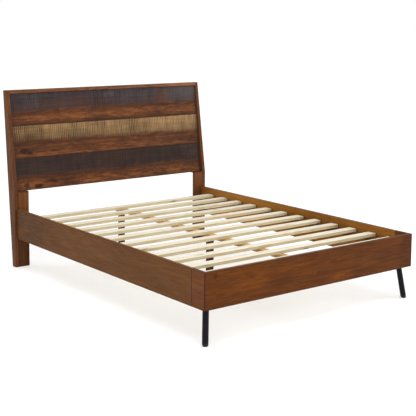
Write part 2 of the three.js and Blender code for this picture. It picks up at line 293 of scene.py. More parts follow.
def frame_wood(node, tones, axis, stave=(0.45, 0.07), weights=None, burn=(0.004, 0.6),
               zones=(), inside=None, inside_zones=(), joint=0.0, end_line=0.0):
    """Stained wood for one board; inside gives other tones to the face toward the bed,
    and end_line is how dark the stain is at the board's two ends."""
    low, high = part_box(node)
    g = Graph(node + "_wood", **SATIN)
    place = g.place()
    parts = along_grain(g, place, axis)
    shift = g.zones(parts[0], parts[1], zones)
    colour, roughness, height = stained(
        g, parts, STAIN[tones], stave, weights, joint, shift)
    if inside:
        shift = g.zones(parts[0], parts[1], inside_zones)
        pale = stained(g, parts, STAIN[inside], INSIDE_STAVE, weights, shift=shift)[0]
        x = g.split(place)[0]
        middle = (low.x + high.x) / 2
        toward_bed = g.math("LESS_THAN" if middle > 0 else "GREATER_THAN", x, middle)
        colour = g.mix(toward_bed, colour, pale)
    faces = to_box(g, place, low, high)
    wander = g.noise(place, (40.0, 40.0, 40.0), 2.0)
    colour = edge_stain_and_shade(g, colour, edge_distance(g, *faces), wander, EDGE_STAIN_AND_SHADE, *burn)
    to_end = faces["xyz".index(axis)]
    colour = g.mix(g.ease(to_end, 0.001, 0.007, end_line, 0.0), colour, EDGE_STAIN_AND_SHADE)
    return g.close(colour, roughness, height, 0.5 * MM)


# The headboard's planks. Places along a plank are in metres from its middle, and places up
# it are parts of its height.
SAW_TEETH = 2 * PI / 0.0145     # a saw mark every 14.5 mm
PLANK_STAVE = (0.62, 0.4)


def saw_marks(g, place, along, up, clusters):
    """Marks across the board: an even row of grooves, and clusters of scratches."""
    sway = g.noise(place, (4.0, 1.0, 5.0), 2.0)
    teeth = g.math("SINE", g.math("MULTIPLY_ADD", along, SAW_TEETH, g.math("MULTIPLY", sway, 9.0)))
    grooves = g.math("MULTIPLY", g.ease(teeth, -0.1, 0.9),
                     g.ease(g.noise(place, (14.0, 1.0, 9.0), 3.0), 0.32, 0.62))
    lines = g.noise(place, (170.0, 1.0, 5.0), 4.0, 0.75)
    cluster = g.zones(along, up, clusters)
    marks = g.math("MULTIPLY", g.ease(g.total((1.0, lines), (0.05, teeth)), 0.46, 0.66),
                   g.math("ADD", cluster, g.ease(g.noise(place, (7.0, 1.0, 2.0)), 0.4, 0.7)))
    return grooves, marks


def ragged_level(g, place, along, up, slope, marks):
    """Height up the plank with a wander for the wash's lower border, or 0 on its back."""
    drift = g.noise(place, (3.5, 1.0, 1.0), 2.0)
    drips = g.noise(place, (70.0, 1.0, 3.0), 3.0, 0.6)
    level = g.math("ADD", up, g.total((0.14, g.math("SUBTRACT", drift, 0.5)),
                                      (0.12, g.math("SUBTRACT", drips, 0.5)),
                                      (slope, along),
                                      (0.07, g.math("SUBTRACT", marks, 0.2))))
    toward_wall = g.split(g.add("NewGeometry").outputs["Normal"])[1]
    return g.math("MULTIPLY", level, g.math("LESS_THAN", toward_wall, 0.5))


def wash_colour(g, place, along, up, level, brushed, grooves, marks, plank, wood):
    """The colour of the wash itself, with a painted sheen that pales it toward the right and
    darkens it at the left, and rubbed thin in places.
    """
    dark, middle, light = plank["paint"]
    split, saw, groove = plank["split"], plank["saw"], plank["groove"]
    # The wash's tone includes a painted sheen: paler toward the planks' right ends, darker at the
    # left.
    tone = g.math("ADD", 0.5, g.total(
        (0.9, g.math("SUBTRACT", brushed, 0.5)),
        (0.5, g.math("SUBTRACT", g.noise(place, (6.0, 1.0, 18.0), 3.0), 0.5)),
        (0.5, g.math("SUBTRACT", g.noise(place, (30.0, 1.0, 4.0), 3.0), 0.5)),
        (1.0, g.zones(along, up, plank["painted_sheen"])),
        (-0.8 * saw, marks), (-groove, grooves), (0.16 * saw + 0.35 * groove, 1.0)))
    paint = g.ramp(tone, [(0.15, dark), (0.5, middle), (0.85, light)])
    paint = g.mix(g.ease(level, split, split + 0.35, plank["fade"], 0.0), paint, dark)
    return g.mix(g.zones(along, up, plank["rubbed"]), paint, wood)


def washed_plank(node, bare, plank):
    """A headboard plank: brown stain below, a painted wash over its upper part."""
    low, high = upright_box(node)
    split = plank["split"]
    g = Graph(node + "_wood", **SHEEN)
    turn = g.add("VectorRotate", {"Vector": g.place(), "Center": PIVOT, "Angle": LEAN},
                 rotation_type="X_AXIS")
    place = turn.outputs[0]
    parts = along_grain(g, place, "x")
    along, across = parts[:2]
    up = g.math("DIVIDE", g.math("SUBTRACT", across, low.z), high.z - low.z)
    weights = {"stave": 0.22, "streak": 0.4, "blotch": 0.35, "fibre": 0.45, "seam": 0.1,
               "mottle": 0.7, "warm": 0.3}
    tint = g.zones(along, up, plank["zones"])
    colour, roughness, height = stained(
        g, parts, bare, PLANK_STAVE, weights, plank["joint"], tint)

    grooves, marks = saw_marks(g, place, along, up, plank["clusters"])
    level = ragged_level(g, place, along, up, plank["slope"], marks)
    cover = g.ease(level, split - 0.08, split + 0.08)
    brushed = g.total((0.5, g.noise(place, (3.0, 130.0, 130.0), 4.0, 0.7)),
                      (0.5, g.noise(place, (5.0, 320.0, 320.0), 3.0, 0.7)))
    paint = wash_colour(g, place, along, up, level, brushed, grooves, marks, plank, bare[1])

    # The stain darkens in the scratches and just under the wash, and the colour is darker along
    # the plank's foot.
    colour = g.mix(g.math("MULTIPLY", marks, g.ease(level, split - 0.4, split, 0.0, 0.5)),
                   colour, plank["paint"][0])
    shade = g.math("MULTIPLY", g.ease(level, split - 0.3, split - 0.05),
                   g.math("SUBTRACT", 1.0, cover))
    colour = g.mix(g.math("MULTIPLY", shade, 0.55), colour, bare[0])
    colour = g.mix(g.ease(up, 0.0, 0.16, plank["foot"], 0.0), colour, bare[0])
    worn = g.ease(brushed, 0.6, 0.72, 0.0, 0.3)
    colour = g.mix(g.math("SUBTRACT", cover, g.math("MULTIPLY", cover, worn)), colour, paint)

    distance = edge_distance(g, *to_box(g, place, low, high))
    wander = g.noise(place, (40.0, 40.0, 40.0), 2.0)
    # Painted shade: the plank darkens along all its edges, the contact shadow of the panel
    # recessed in its frame.
    colour = edge_stain_and_shade(g, colour, distance, wander, EDGE_STAIN_AND_SHADE, 0.005, 0.75)
    # Painted shade: each plank darkens toward its two ends, beside the stiles.
    ends = g.math("MINIMUM", g.math("SUBTRACT", along, low.x), g.math("SUBTRACT", high.x, along))
    colour = g.mix(g.ease(ends, 0.004, 0.045, 0.45, 0.0), colour, END_SHADE)
    height = g.math("SUBTRACT", height, g.total((1.0, marks), (0.8, grooves)))
    roughness = g.math("ADD", roughness, g.math("MULTIPLY", cover, 0.06))
    return g.close(colour, roughness, height, 0.6 * MM)


PINE = {
    "slat": (rgb(192, 176, 144), rgb(212, 204, 183), rgb(222, 216, 200)),
    "beam": (rgb(147, 108, 56), rgb(178, 140, 80), rgb(196, 160, 98)),
}
# Painted shade: the tint that darkens the sides of pine pieces against their tops.
SIDE_SHADE = (0.80, 0.72, 0.54, 1.0)


def pine_wood(name, tones, axis):
    """Raw softwood with growth lines and a few knots; its sides are painted with shade, darker
    than its tops.
    """
    g = Graph(name, Coat_Weight=0.0)
    place = g.place()
    parts = along_grain(g, place, axis)
    weights = {"stave": 0.12, "streak": 0.35, "rings": 0.3, "fibre": 0.15, "blotch": 0.3,
               "pores": 0.05, "seam": 0.0}
    colour, roughness, height = stained(g, parts, PINE[tones], (3.0, 0.165), weights)
    knot = g.add("TexVoronoi", {"Vector": g.times(g.join(*parts), (3.2, 14.0, 14.0)),
                                "Scale": 1.0, "Randomness": 1.0})
    spot = g.ease(knot.outputs["Distance"], 0.05, 0.13, 1.0, 0.0)
    halo = g.ease(knot.outputs["Distance"], 0.08, 0.3, 0.35, 0.0)
    colour = g.mix(halo, colour, PINE[tones][0])
    colour = g.mix(g.math("MULTIPLY", spot, 0.8), colour, rgb(128, 88, 48))
    # Painted shade: faces that do not look up or down are darkened, as if shaded from the overhead
    # light.
    upward = g.split(g.add("NewGeometry").outputs["Normal"])[2]
    side_shade = g.ease(g.math("ABSOLUTE", upward), 0.35, 0.9, 1.0, 0.0)
    colour = g.mix(side_shade, colour, SIDE_SHADE, "MULTIPLY")
    return g.close(colour, g.math("ADD", roughness, 0.08), height, 0.3 * MM)


# ---- Metal and nylon ----

def powder_coat():
    """Black powder coat: slight orange peel, and a satin that varies."""
    g = Graph("black_powder_coat", Specular_IOR_Level=0.14,
              Specular_Tint=(0.92, 0.88, 1.0, 1.0))
    place = g.place()
    peel = g.noise(place, (900.0, 900.0, 900.0), 2.0)
    dust = g.noise(place, (26.0, 26.0, 26.0), 3.0)
    colour = g.ramp(dust, [(0.3, rgb(8, 7, 12)), (0.7, rgb(13, 12, 19))])
    return g.close(colour, g.ease(dust, 0.3, 0.7, 0.36, 0.5), peel, 0.1 * MM)


def zinc_plate(name, dark, light):
    """Zinc plating with faint spangles and fine scratches."""
    g = Graph(name, Metallic=0.9)
    place = g.place()
    cells = g.add("TexVoronoi", {"Vector": g.times(place, (160.0, 160.0, 160.0)), "Scale": 1.0})
    cloud = g.noise(place, (60.0, 60.0, 60.0), 3.0)
    scratch = g.ease(g.noise(place, (2000.0, 90.0, 90.0), 2.0), 0.62, 0.7)
    tone = g.total((0.5, cells.outputs["Distance"]), (0.6, cloud))
    colour = g.ramp(tone, [(0.2, dark), (0.8, light)])
    roughness = g.math("ADD", g.ease(cloud, 0.3, 0.7, 0.28, 0.45),
                       g.math("MULTIPLY", scratch, 0.15))
    return g.close(colour, roughness, g.total((0.4, cloud), (-0.5, scratch)), 0.1 * MM)


def moulded_nylon():
    """Black nylon, scuffed near the floor."""
    g = Graph("black_nylon", Specular_IOR_Level=0.15)
    place = g.place()
    grain = g.noise(place, (1400.0, 1400.0, 1400.0), 2.0)
    scuff = g.ease(g.noise(place, (90.0, 90.0, 25.0), 4.0, 0.7), 0.55, 0.8)
    height = g.split(place)[2]
    low = g.ease(height, 0.0, 0.012, 0.6, 0.0)
    colour = g.mix(g.math("MULTIPLY", scuff, low), rgb(24, 24, 26), rgb(70, 68, 66))
    return g.close(colour, g.ease(scuff, 0.0, 1.0, 0.46, 0.62), grain, 0.1 * MM)


def umber_glue():
    """Hardened dark glue."""
    g = Graph("dark_glue", Specular_IOR_Level=0.05)
    place = g.place()
    beads = g.noise(place, (400.0, 400.0, 400.0), 2.0)
    colour = g.ramp(beads, [(0.3, rgb(28, 17, 12)), (0.7, rgb(44, 28, 20))])
    return g.close(colour, g.ease(beads, 0.3, 0.7, 0.6, 0.8), beads, 0.1 * MM)


def finish_node(node, material, edge=0.0, segments=2):
    """Gives a CAD node its material, and eased edges where edge is over zero."""
    shown = nodes[node]
    shown.data.materials.clear()
    shown.data.materials.append(material)
    if edge:
        bevel = shown.modifiers.new("eased edges", "BEVEL")
        bevel.width = edge
        bevel.segments = segments
        bevel.limit_method = "ANGLE"
        bevel.angle_limit = math.radians(30)


coat, nylon, glue = powder_coat(), moulded_nylon(), umber_glue()
zinc = zinc_plate("bright_zinc_steel", rgb(150, 152, 150), rgb(196, 198, 198))
bronzed = zinc_plate("bronzed_zinc_steel", rgb(58, 44, 36), rgb(88, 68, 54))


# ---- Finishing the CAD's nodes ----

SLATS = 12
WHOLE_BOARD = (6.0, 1.0)        # a stave larger than the board
SOLID = {"stave": 0.0, "seam": 0.0}


def finish_wood(node, *settings, edge=1.0 * MM, **more):
    """Stained wood on one board; the settings are those of frame_wood."""
    finish_node(node, frame_wood(node, *settings, **more), edge)


def finish_side(label):
    """The side rail, corner return and ledger of one side."""
    finish_wood(
        "side_rail_" + label, "rail", "y", WHOLE_BOARD,
        {"stave": 0.0, "streak": 0.3, "blotch": 0.28, "rings": 0.08, "fibre": 0.35},
        zones=[(0.85, 0.3, 0.3, 0.3, -0.2)], inside="inside",
        inside_zones=[(0.45, 0.35, 0.4, 0.2, 0.22), (-0.25, 0.35, 0.3, 0.2, -0.1),
                      (0.96, 0.33, 0.14, 0.2, -0.2)],
        joint=-2.0, edge=1.2 * MM)
    finish_wood("footboard_return_" + label, "return", "y", (0.3, 0.4),
                {"stave": 0.15, "streak": 0.3}, end_line=0.6, edge=0.8 * MM)
    finish_wood("ledger_" + label, "ledger", "y", weights=SOLID)


def finish_head_post(label, side):
    """The stile, leg board, glue block and cleat of one side of the headboard."""
    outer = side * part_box("headboard_leg_right")[1].x
    finish_wood("headboard_stile_" + label, "post", "z", (1.6, 0.3),
                {"stave": 0.1, "streak": 0.5}, edge=1.2 * MM)
    finish_wood("headboard_leg_" + label, "post", "z", (0.4, 0.3),
                {"stave": 0.25, "streak": 0.5}, burn=(0.007, 0.7),
                zones=[(0.46, outer, 0.08, 0.3, 0.22), (0.1, outer, 0.18, 0.3, -0.12)],
                edge=1.2 * MM)
    finish_wood("post_block_" + label, "post", "z", (0.4, 0.3))
    finish_wood("panel_cleat_" + label, "plank", "z", weights=SOLID)


def finish_hardware(label):
    """The plates, bolts, steel leg and feet of one side."""
    plate_edge = 0.5 * MM
    finish_node("rail_joint_plate_" + label, zinc, plate_edge)
    finish_node("head_bracket_" + label, bronzed, plate_edge)
    for number in (1, 2):
        finish_node(f"head_bolt_{label}_{number}", bronzed)
    for part in ("leg_plate_", "steel_leg_"):
        finish_node(part + label, coat)
    for part in ("leg_glide_", "head_glide_"):
        finish_node(part + label, nylon)


def finish_footboard():
    """The footboard, with the lighter and darker patches that its stain has, and painted shade at
    its right end.
    """
    finish_wood(
        "footboard", "foot", "x", (0.36, 0.0505),
        {"stave": 0.08, "streak": 0.15, "fibre": 0.16, "blotch": 0.3, "mottle": 0.25,
         "seam": 0.12, "warm": 0.2, "pores": 0.3},
        burn=(0.003, 0.6), end_line=0.8, zones=[
            (-0.46, 0.285, 0.12, 0.035, 0.15), (0.22, 0.235, 0.09, 0.025, 0.2),
            (-0.27, 0.270, 0.12, 0.040, -0.11), (0.54, 0.300, 0.10, 0.045, -0.12),
            (0.40, 0.330, 0.08, 0.060, -0.05), (-0.40, 0.360, 0.35, 0.035, 0.07),
            # The patch at 0.76, darker toward the right end, is painted shade.
            (0.76, 0.290, 0.10, 0.300, -0.12), (-0.726, 0.371, 0.014, 0.014, -0.3)])


# Of each plank: the wash's three tones, where its border lies (split) and how it slopes, how
# deep the scratches (saw) and grooves are, where two staves meet (joint), how dark the foot
# and the wash's border (fade) are, and soft patches as rows of Graph.zones: in the stain
# (zones), rubbed thin, of painted sheen in the wash's tone, paler to the right (haze), and of
# scratches (clusters).
PLANKS = {
    "upper": {
        "paint": (rgb(38, 32, 31), rgb(57, 47, 47), rgb(77, 68, 68)),
        "split": 0.46, "slope": -0.01, "saw": 0.35, "groove": 0.16, "joint": -0.18, "foot": 0.7,
        "zones": [(-0.40, 0.28, 0.26, 0.14, 0.10), (0.10, 0.30, 0.22, 0.14, 0.16),
                  (-0.08, 0.08, 0.14, 0.10, -0.16), (0.42, 0.10, 0.16, 0.10, -0.14),
                  (0.66, 0.30, 0.14, 0.14, 0.08)],
        "rubbed": [(0.0, 0.56, 1.2, 0.14, 0.14), (-0.30, 0.66, 0.24, 0.22, 0.16),
                   (0.46, 0.68, 0.06, 0.26, 0.36)],
        "painted_sheen": [(0.76, 0.75, 0.26, 0.5, 0.3), (-0.5, 0.8, 0.4, 0.4, -0.08)], "fade": 0.35,
        "clusters": [(-0.1, 0.6, 0.24, 0.4, 0.7)]},
    "middle": {
        "paint": (rgb(62, 45, 29), rgb(111, 84, 54), rgb(153, 122, 84)),
        "split": 0.50, "slope": 0.05, "saw": 0.5, "groove": 0.34, "joint": -0.17, "foot": 0.0,
        "zones": [(-0.45, 0.06, 0.28, 0.08, 0.20), (-0.05, 0.14, 0.12, 0.12, 0.14),
                  (-0.70, 0.22, 0.03, 0.07, -0.35), (-0.66, 0.14, 0.02, 0.05, -0.35),
                  (0.38, 0.10, 0.24, 0.08, 0.08)],
        "rubbed": [(-0.07, 0.60, 0.06, 0.12, 0.2)],
        "painted_sheen": [(0.70, 0.75, 0.35, 0.5, 0.12), (-0.72, 0.75, 0.2, 0.5, -0.16)], "fade": 0.4,
        "clusters": [(-0.26, 0.6, 0.08, 0.42, 1.0), (-0.09, 0.75, 0.05, 0.3, 0.7),
                     (0.16, 0.75, 0.09, 0.3, 0.7)]},
    "lower": {
        "paint": (rgb(34, 25, 21), rgb(47, 34, 29), rgb(60, 47, 41)),
        "split": 0.43, "slope": 0.0, "saw": 0.3, "groove": 0.12, "joint": -0.27, "foot": 0.0,
        "zones": [(0.0, 0.2, 2.0, 0.5, 0.08),
                  (-0.66, 0.24, 0.12, 0.14, 0.14), (-0.42, 0.20, 0.16, 0.2, -0.08),
                  (-0.14, 0.18, 0.16, 0.16, 0.14), (0.16, 0.22, 0.07, 0.16, 0.10),
                  (0.54, 0.22, 0.07, 0.16, 0.16), (-0.61, 0.10, 0.03, 0.07, -0.4),
                  (-0.70, 0.16, 0.02, 0.06, -0.4), (-0.50, 0.22, 0.03, 0.05, -0.25)],
        "rubbed": [(0.0, 0.8, 0.3, 0.2, 0.08)],
        "painted_sheen": [(0.76, 0.8, 0.12, 0.4, 0.2)], "fade": 0.0,
        "clusters": [(0.2, 0.7, 0.2, 0.3, 0.3)]},
}


def finish_panel():
    """The headboard's top rail, its planks, and the batten behind them."""
    finish_wood("headboard_top_rail", "cap", "x", (0.8, 0.2), {"stave": 0.1},
                zones=[(0.72, 1.18, 0.3, 0.2, 0.24)], edge=1.2 * MM)
    for which, facts in PLANKS.items():
        plank = "headboard_plank_" + which
        finish_node(plank, washed_plank(plank, STAIN["plank"], facts), 0.3 * MM)
    finish_wood("panel_batten_centre", "plank", "z", weights=SOLID)


def finish_pine():
    """The slats, the centre beam, its cleat and the corner blocks."""
    slat_pine = pine_wood("slat_pine", "slat", "x")
    for number in range(1, SLATS + 1):
        finish_node(f"slat_{number:02d}", slat_pine, 2.5 * MM, 3)
    sawn_edge = 1.5 * MM
    finish_node("centre_beam", pine_wood("beam_pine", "beam", "y"), sawn_edge)
    block_pine = pine_wood("block_pine", "beam", "z")
    for node in ("beam_cleat", "corner_block_left", "corner_block_right"):
        finish_node(node, block_pine, sawn_edge)


def finish_centre_legs():
    for label in ("middle", "head"):
        finish_wood("centre_leg_" + label, "umber", "z", (0.8, 0.2), edge=1.5 * MM)
        finish_node("centre_insert_" + label, zinc)
        finish_node("leveller_" + label, nylon)


for label, side in SIDES:
    finish_side(label)
    finish_head_post(label, side)
    finish_hardware(label)
finish_footboard()
finish_panel()
finish_pine()
finish_centre_legs()


# ---- Hardware ----

SCREW_RADIUS = 4 * MM
BRACKET_STEEL = 3 * MM          # thickness of the head brackets
SHANK = 4 * MM                  # radius of the M8 bolts and of the levellers' stems
FLATS = 13 * MM                 # across the flats of an M8 nut
NUT_DEPTH = 5.2 * MM
NUT_CHAMFER = 0.7 * MM
SOCKET_FLATS = 5 * MM
SOCKET_DEPTH = 2.6 * MM
WASHER_RADIUS = 8 * MM
WASHER_DEPTH = 1.2 * MM
THREAD_PITCH = 1.25 * MM
THREAD_ROOT = 3.35 * MM
HEX_LOW = 5.9 * MM              # the spanner hex of a leveller, from its pad's sole
HEX_HIGH = 10.5 * MM
STEM_LOW = 9 * MM
GLUE_INSET = 1 * MM             # the glue stops short of the planks' ends
GLUE_RECESS = 0.9 * MM          # and of their faces
GLUE_EDGE = 0.1 * MM
STRIP_GAP = 0.4 * MM            # between a filler strip and the block under it
STRIP_FIT = 0.2 * MM
STRIP_INSET = 1 * MM
STRIP_EDGE = 0.3 * MM


def turned(profile, segments=24):
    """A bmesh turned about Z from (radius, height) points; radius 0 closes an end."""
    mesh = bmesh.new()
    turns = [2 * PI * step / segments for step in range(segments)]
    rings = []
    for radius, height in profile:
        around = turns if radius else turns[:1]
        rings.append([mesh.verts.new((radius * math.cos(turn), radius * math.sin(turn), height))
                      for turn in around])
    for low, high in zip(rings, rings[1:]):
        for here in range(segments):
            there = (here + 1) % segments
            corners = (low[here % len(low)], low[there % len(low)],
                       high[there % len(high)], high[here % len(high)])
            mesh.faces.new(list(dict.fromkeys(corners)))
    bmesh.ops.recalc_face_normals(mesh, faces=mesh.faces)
    return mesh


def as_data(mesh, name):
    data = bpy.data.meshes.new(name)
    mesh.to_mesh(data)
    mesh.free()
    return data


def hollowed(data, cutter):
    """The first mesh with the second taken out of it."""
    body, tool = (bpy.data.objects.new("blank", part) for part in (data, cutter))
    for part in (body, tool):
        bpy.context.scene.collection.objects.link(part)
    cut = body.modifiers.new("cut", "BOOLEAN")
    cut.object = tool
    cut.solver = "EXACT"
    depsgraph = bpy.context.evaluated_depsgraph_get()
    result = bpy.data.meshes.new_from_object(body.evaluated_get(depsgraph))
    for part in (body, tool):
        bpy.data.objects.remove(part)
    return result


def recess_bar(turn, reach, width, top, depth):
    """A tapered bar, its wide end at the top: one arm of a screw's cross recess."""
    mesh = bmesh.new()
    for vertex in bmesh.ops.create_cube(mesh, size=1.0)["verts"]:
        above = vertex.co.z > 0
        taper = 1.0 if above else 0.45
        point = Vector((vertex.co.x * 2 * reach * taper, vertex.co.y * width,
                        top + 0.5 * MM if above else top - depth))
        vertex.co = Matrix.Rotation(turn, 3, "Z") @ point
    return as_data(mesh, "bar")


def hex_prism(across_flats, low, high):
    mesh = turned([(0, low), (across_flats / math.sqrt(3), low),
                   (across_flats / math.sqrt(3), high), (0, high)], 6)
    return as_data(mesh, "hex")


def screw_head(radius):
    """A pan head standing on z = 0, with a cross recess."""
    dome = [(0, 0), (radius, 0), (radius, 0.25 * radius), (0.93 * radius, 0.42 * radius),
            (0.74 * radius, 0.58 * radius), (0.4 * radius, 0.66 * radius), (0, 0.68 * radius)]
    head = as_data(turned(dome, 20), "head")
    for turn in (0.0, PI / 2):
        arm = recess_bar(turn, 0.58 * radius, 0.2 * radius, 0.68 * radius, 0.34 * radius)
        head = hollowed(head, arm)
    return head


def show(name, data, material, body="bed_frame"):
    """Adds a finished mesh to the model, riding on a body."""
    data.materials.clear()
    data.materials.append(material)
    data.shade_smooth()
    data.set_sharp_from_angle(angle=math.radians(32))
    piece = bpy.data.objects.new(name, data)
    bpy.context.scene.collection.objects.link(piece)
    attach(piece, body)
    return piece


def scatter(template, places):
    """Copies of a mesh at each (point, direction), its +Z turned that way."""
    mesh = bmesh.new()
    for index, (at, toward) in enumerate(places):
        copy = template.copy()
        aim = Vector(toward).to_track_quat("Z", "Y").to_matrix().to_4x4()
        spin = Matrix.Rotation(1.1 * index, 4, "Z")
        copy.transform(Matrix.Translation(at) @ aim @ spin)
        mesh.from_mesh(copy)
        bpy.data.meshes.remove(copy)
    return as_data(mesh, "copies")


def spaced(low, high, count):
    """The middles of count equal stretches from low to high."""
    return [low + (high - low) * (step + 0.5) / count for step in range(count)]


def ledger_screws(label, side):
    low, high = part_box("ledger_" + label)
    face = low.x if side > 0 else high.x
    level = (low.z + high.z) / 2
    return [((face, y, level), (-side, 0, 0)) for y in spaced(low.y, high.y, 7)]


def joint_plate_screws(label, side):
    """One pair of screws in the corner return, and three in the rail."""
    low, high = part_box("rail_joint_plate_" + label)
    face = low.x if side > 0 else high.x
    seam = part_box("side_rail_" + label)[0].y
    inset = 14 * MM
    return [((face, seam + step * MM, z), (-side, 0, 0))
            for step in (-9, 18, 34, 50) for z in (low.z + inset, high.z - inset)]


def bracket_screws(label, side):
    """Screws through the leg of the angle bracket that lies on the side rail."""
    low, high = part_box("head_bracket_" + label)
    face = side * (max(abs(low.x), abs(high.x)) - BRACKET_STEEL)
    return [((face, low.y + step * MM, z), (-side, 0, 0))
            for step in (12, 34) for z in spaced(low.z, high.z, 3)]


def leg_plate_screws(label):
    low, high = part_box("leg_plate_" + label)
    inset = 8 * MM
    return [((x, y, low.z), (0, 0, -1)) for x in (low.x + inset, high.x - inset)
            for y in (low.y + inset, high.y - inset)]


def corner_block_screws(label, side):
    """Screws toward the side and toward the foot, the second ones higher to pass the first."""
    low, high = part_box("corner_block_" + label)
    face = low.x if side > 0 else high.x
    middle = (low + high) / 2
    levels = spaced(low.z, high.z, 2)
    pass_over = 12 * MM
    return ([((face, middle.y, z), (-side, 0, 0)) for z in levels]
            + [((middle.x, high.y, z + pass_over), (0, 1, 0)) for z in levels])


def panel_screws(node):
    """Screws up the back of a cleat or batten, square to the leaning panel."""
    low, high = upright_box(node)
    middle = (low.x + high.x) / 2
    out = LEANED.to_3x3() @ Vector((0, 1, 0))
    return [(LEANED @ Vector((middle, high.y, z)), out) for z in spaced(low.z, high.z, 6)]


def add_screws():
    head = screw_head(SCREW_RADIUS)
    for label, side in SIDES:
        for name, places, metal in (
                ("ledger_screws_", ledger_screws(label, side), zinc),
                ("joint_plate_screws_", joint_plate_screws(label, side), zinc),
                ("bracket_screws_", bracket_screws(label, side), bronzed),
                ("corner_block_screws_", corner_block_screws(label, side), zinc),
                ("cleat_screws_", panel_screws("panel_cleat_" + label), zinc)):
            show(name + label, scatter(head, places), metal)
        show("leg_plate_screws_" + label, scatter(head, leg_plate_screws(label)),
             coat)
    show("batten_screws", scatter(head, panel_screws("panel_batten_centre")),
         zinc)


def washer_mesh():
    hole = SHANK + 0.2 * MM
    return as_data(turned([(hole, 0), (WASHER_RADIUS, 0), (WASHER_RADIUS, WASHER_DEPTH),
                           (hole, WASHER_DEPTH), (hole, 0)]), "washer")


def nut_mesh():
    """A hexagon nut with its bore, and its upper corners turned off."""
    rim = FLATS / math.sqrt(3)
    bore = as_data(turned([(0, -MM), (SHANK + 0.05 * MM, -MM),
                           (SHANK + 0.05 * MM, NUT_DEPTH + MM), (0, NUT_DEPTH + MM)]), "bore")
    corners = as_data(turned([
        (rim + 2 * MM, -MM), (rim + 2 * MM, NUT_DEPTH + MM), (rim - NUT_CHAMFER, NUT_DEPTH + MM),
        (rim - NUT_CHAMFER, NUT_DEPTH), (rim, NUT_DEPTH - NUT_CHAMFER), (rim, -MM),
        (rim + 2 * MM, -MM)], 32), "corners")
    return hollowed(hollowed(hex_prism(FLATS, 0, NUT_DEPTH), bore), corners)


def bolt_mesh(length, radius):
    """A bolt from its tip at z = 0 up to a rounded head with a hexagon socket."""
    tip = 0.8 * MM
    neck = length - 5 * MM
    blank = as_data(turned([
        (0, 0), (SHANK - tip, 0), (SHANK, tip), (SHANK, neck), (radius, neck),
        (radius, neck + 2.2 * MM), (0.9 * radius, neck + 3.6 * MM),
        (0.7 * radius, neck + 4.6 * MM), (0.55 * radius, length), (0, length)]), "bolt")
    return hollowed(blank, hex_prism(SOCKET_FLATS, length - SOCKET_DEPTH, length + MM))


def add_bolts():
    """Socket-headed bolts behind the head posts, with washers and nuts on the brackets."""
    washer, nut = washer_mesh(), nut_mesh()
    forward = (0, -1, 0)
    for label, _ in SIDES:
        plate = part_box("head_bracket_" + label)[1].y - BRACKET_STEEL
        for number in (1, 2):
            node = f"head_bolt_{label}_{number}"
            low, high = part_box(node)
            middle = centre(node)
            bolt = bolt_mesh(high.y - low.y, (high.x - low.x) / 2)
            tip = (middle.x, low.y, middle.z)
            piece = show(f"socket_bolt_{label}_{number}", scatter(bolt, [(tip, (0, 1, 0))]),
                         bronzed)
            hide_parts(node)
            for name, part, y in (("bolt_washer_", washer, plate),
                                  ("bolt_nut_", nut, plate - WASHER_DEPTH)):
                seat = (middle.x, y, middle.z)
                show(f"{name}{label}_{number}", scatter(part, [(seat, forward)]),
                     bronzed)


def add_glue_lines():
    """Hardened glue in the joints between the headboard planks, short of both faces."""
    for under, over in (("lower", "middle"), ("middle", "upper")):
        below = upright_box("headboard_plank_" + under)[1]
        low, high = upright_box("headboard_plank_" + over)
        start = Vector((low.x + GLUE_INSET, low.y + GLUE_RECESS, below.z))
        end = Vector((high.x - GLUE_INSET, high.y - GLUE_RECESS, low.z))
        mesh = bmesh.new()
        for vertex in bmesh.ops.create_cube(mesh, size=1.0)["verts"]:
            vertex.co = Vector(a + (b - a) * (part + 0.5)
                               for a, b, part in zip(start, end, vertex.co))
        bmesh.ops.bevel(mesh, geom=mesh.edges, offset=GLUE_EDGE, segments=2, affect="EDGES")
        mesh.transform(LEANED)
        show(f"glue_line_{under}", as_data(mesh, "glue"), glue)


def add_filler_strips():
    """Strips under the lowest plank that close the joint behind each leg board."""
    low, high = upright_box("headboard_plank_lower")
    front = LEANED @ low
    back = LEANED @ Vector((low.x, high.y, low.z))
    slope = (back.z - front.z) / (back.y - front.y)
    for label, _ in SIDES:
        start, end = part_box("headboard_leg_" + label)
        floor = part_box("post_block_" + label)[1].z + STRIP_GAP
        mesh = bmesh.new()
        for vertex in bmesh.ops.create_cube(mesh, size=1.0)["verts"]:
            x = start.x + STRIP_INSET if vertex.co.x < 0 else end.x - STRIP_INSET
            y = end.y + STRIP_FIT if vertex.co.y < 0 else back.y - STRIP_INSET
            sole = front.z + slope * (y - front.y) - STRIP_FIT / 2
            vertex.co = (x, y, floor if vertex.co.z < 0 else sole)
        bmesh.ops.bevel(mesh, geom=mesh.edges, offset=STRIP_EDGE, segments=2, affect="EDGES")
        wood = nodes["post_block_" + label].data.materials[0]
        show("filler_strip_" + label, as_data(mesh, "strip"), wood)


def weld_mesh(middle, reach, top):
    """A ring of rippled bead that hangs from the height top."""
    around, across = 72, 8
    width, depth = 2.0 * MM, 1.3 * MM
    mesh = bmesh.new()
    rings = []
    for step in range(around):
        turn = 2 * PI * step / around
        ripple = 1 + 0.14 * math.sin(19 * turn) + 0.06 * math.sin(5 * turn)
        ring = []
        for part in range(across):
            spin = 2 * PI * part / across
            out = reach + 0.4 * MM + width * ripple * math.cos(spin)
            drop = depth * ripple * math.sin(spin) - 1.35 * MM
            ring.append(mesh.verts.new((middle.x + out * math.cos(turn),
                                        middle.y + out * math.sin(turn), top + drop)))
        rings.append(ring)
    for here, there in zip(rings, rings[1:] + rings[:1]):
        for part in range(across):
            after = (part + 1) % across
            mesh.faces.new((here[part], there[part], there[after], here[after]))
    bmesh.ops.recalc_face_normals(mesh, faces=mesh.faces)
    return as_data(mesh, "weld")


